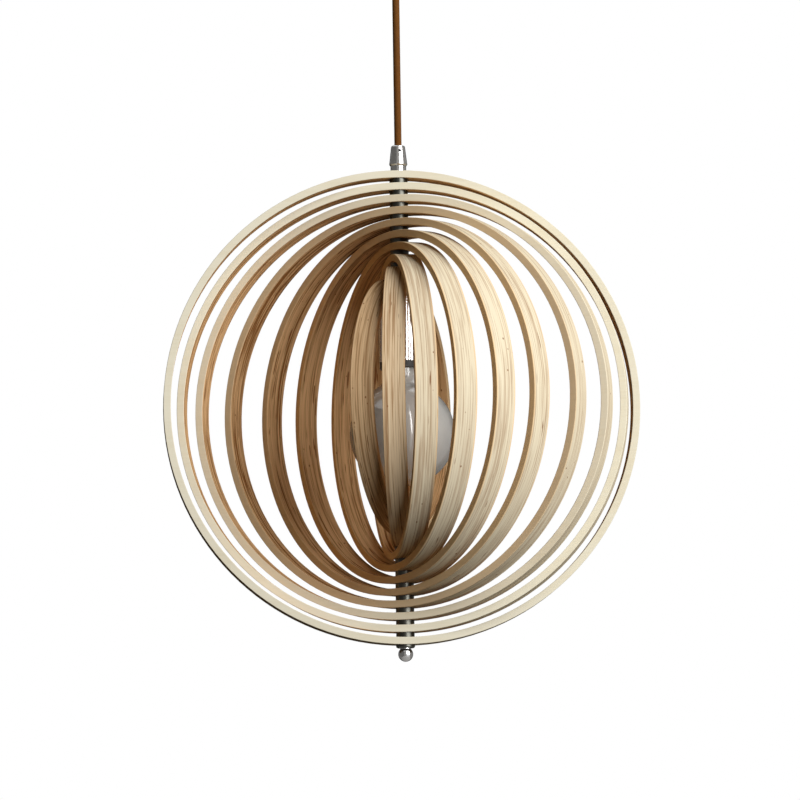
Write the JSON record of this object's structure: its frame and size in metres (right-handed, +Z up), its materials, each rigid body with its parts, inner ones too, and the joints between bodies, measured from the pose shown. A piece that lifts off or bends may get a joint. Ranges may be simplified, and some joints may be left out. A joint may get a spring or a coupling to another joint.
{
  "type": "globe pendant light",
  "caption": "Ceiling pendant light: plywood hoops, one inside the other, turn on one upright axis and fan out to an open globe round an opal bulb, hung by a braided cord from a canopy",
  "frame": {"origin": "on the ceiling, at the centre of the strap's upper face, on the lamp's upright axis", "axes": "+Z up into the ceiling along the lamp's axis, +X along the strap, to the right in the picture, and the picture was taken from the -Y side"},
  "size_m": [0.4956, 0.3252, 0.7599],
  "materials": {
    "plywood": "birch plywood, clear matt lacquer",
    "chrome": "polished plating",
    "turned_steel": "turned, darkened",
    "blackened_steel": "blackened",
    "zinc_steel": "zinc plated",
    "brass": "plain",
    "cap_metal": "rolled",
    "black_plastic": "moulded",
    "white_plastic": "moulded",
    "brown_braid": "woven braid",
    "live_jacket": "extruded, brown",
    "neutral_jacket": "extruded, blue",
    "earth_jacket": "extruded, green and yellow",
    "opal_glass": "opal",
    "heat_sink": "cast",
    "light_board": "white solder mask",
    "led_lens": "phosphor",
    "driver_board": "green solder mask"
  },
  "bodies": {
    "ceiling_fitting": {"ceiling_strap": "zinc_steel", "canopy_shell": "chrome", "canopy_side_screws": "chrome", "canopy_nipple": "zinc_steel", "canopy_nipple_nut": "zinc_steel", "canopy_collar": "chrome", "canopy_cord_grip": "chrome", "canopy_grip_screw": "blackened_steel", "canopy_cord_end": "brown_braid", "terminal_block": "white_plastic", "terminal_sleeves": "brass", "terminal_screws": "zinc_steel", "block_screw": "zinc_steel", "canopy_live_core": "live_jacket", "canopy_neutral_core": "neutral_jacket", "canopy_earth_core": "earth_jacket"},
    "cord": {"pendant_cord": "brown_braid"},
    "lamp": {"cord_grip": "chrome", "cord_grip_screw": "blackened_steel", "grip_collar": "chrome", "cord_end": "brown_braid", "stem_tube": "zinc_steel", "top_spacers": "turned_steel", "stem_washer": "zinc_steel", "stem_lock_nut": "zinc_steel", "holder_cover": "chrome", "holder_nut": "zinc_steel", "holder_body": "black_plastic", "holder_screw_shell": "brass", "holder_centre_contact": "brass", "holder_terminals": "brass", "holder_terminal_screws": "zinc_steel", "live_core": "live_jacket", "neutral_core": "neutral_jacket", "earth_core": "earth_jacket", "bulb_glass": "opal_glass", "bulb_cap": "cap_metal", "bulb_cap_insulator": "black_plastic", "bulb_tip_contact": "cap_metal", "bulb_heat_sink": "heat_sink", "bulb_led_board": "light_board", "bulb_leds": "led_lens", "bulb_driver": "driver_board"},
    "hoop_01_body": {"hoop_01": "plywood", "bottom_stud": "zinc_steel", "bottom_spacers": "turned_steel", "inner_washer": "zinc_steel", "stud_nut": "zinc_steel", "finial_washer": "turned_steel", "ball_finial": "chrome"},
    "hoop_02_body": {"hoop_02": "plywood"},
    "hoop_03_body": {"hoop_03": "plywood"},
    "hoop_04_body": {"hoop_04": "plywood"},
    "hoop_05_body": {"hoop_05": "plywood"},
    "hoop_06_body": {"hoop_06": "plywood"},
    "hoop_07_body": {"hoop_07": "plywood"},
    "hoop_08_body": {"hoop_08": "plywood"},
    "hoop_09_body": {"hoop_09": "plywood"},
    "hoop_10_body": {"hoop_10": "plywood"}
  },
  "joints": [
    {"name": "cord_swing", "type": "hinge", "parent": "ceiling_fitting", "child": "cord", "pos_m": [0, 0, -0.0542], "axis": [0, 1, 0], "range_deg": [-20, 20]},
    {"name": "lamp_swing", "type": "hinge", "parent": "cord", "child": "lamp", "pos_m": [0, 0, -0.2196], "axis": [1, 0, 0], "range_deg": [-20, 20]},
    {"name": "hoop_01_turn", "type": "hinge", "parent": "lamp", "child": "hoop_01_body", "pos_m": [0, 0, -0.495], "axis": [0, 0, 1], "continuous": true},
    {"name": "hoop_02_turn", "type": "hinge", "parent": "lamp", "child": "hoop_02_body", "pos_m": [0, 0, -0.495], "axis": [0, 0, 1], "continuous": true},
    {"name": "hoop_03_turn", "type": "hinge", "parent": "lamp", "child": "hoop_03_body", "pos_m": [0, 0, -0.495], "axis": [0, 0, 1], "continuous": true},
    {"name": "hoop_04_turn", "type": "hinge", "parent": "lamp", "child": "hoop_04_body", "pos_m": [0, 0, -0.495], "axis": [0, 0, 1], "continuous": true},
    {"name": "hoop_05_turn", "type": "hinge", "parent": "lamp", "child": "hoop_05_body", "pos_m": [0, 0, -0.495], "axis": [0, 0, 1], "continuous": true},
    {"name": "hoop_06_turn", "type": "hinge", "parent": "lamp", "child": "hoop_06_body", "pos_m": [0, 0, -0.495], "axis": [0, 0, 1], "continuous": true},
    {"name": "hoop_07_turn", "type": "hinge", "parent": "lamp", "child": "hoop_07_body", "pos_m": [0, 0, -0.495], "axis": [0, 0, 1], "continuous": true},
    {"name": "hoop_08_turn", "type": "hinge", "parent": "lamp", "child": "hoop_08_body", "pos_m": [0, 0, -0.495], "axis": [0, 0, 1], "continuous": true},
    {"name": "hoop_09_turn", "type": "hinge", "parent": "lamp", "child": "hoop_09_body", "pos_m": [0, 0, -0.495], "axis": [0, 0, 1], "continuous": true},
    {"name": "hoop_10_turn", "type": "hinge", "parent": "lamp", "child": "hoop_10_body", "pos_m": [0, 0, -0.495], "axis": [0, 0, 1], "continuous": true}
  ]
}
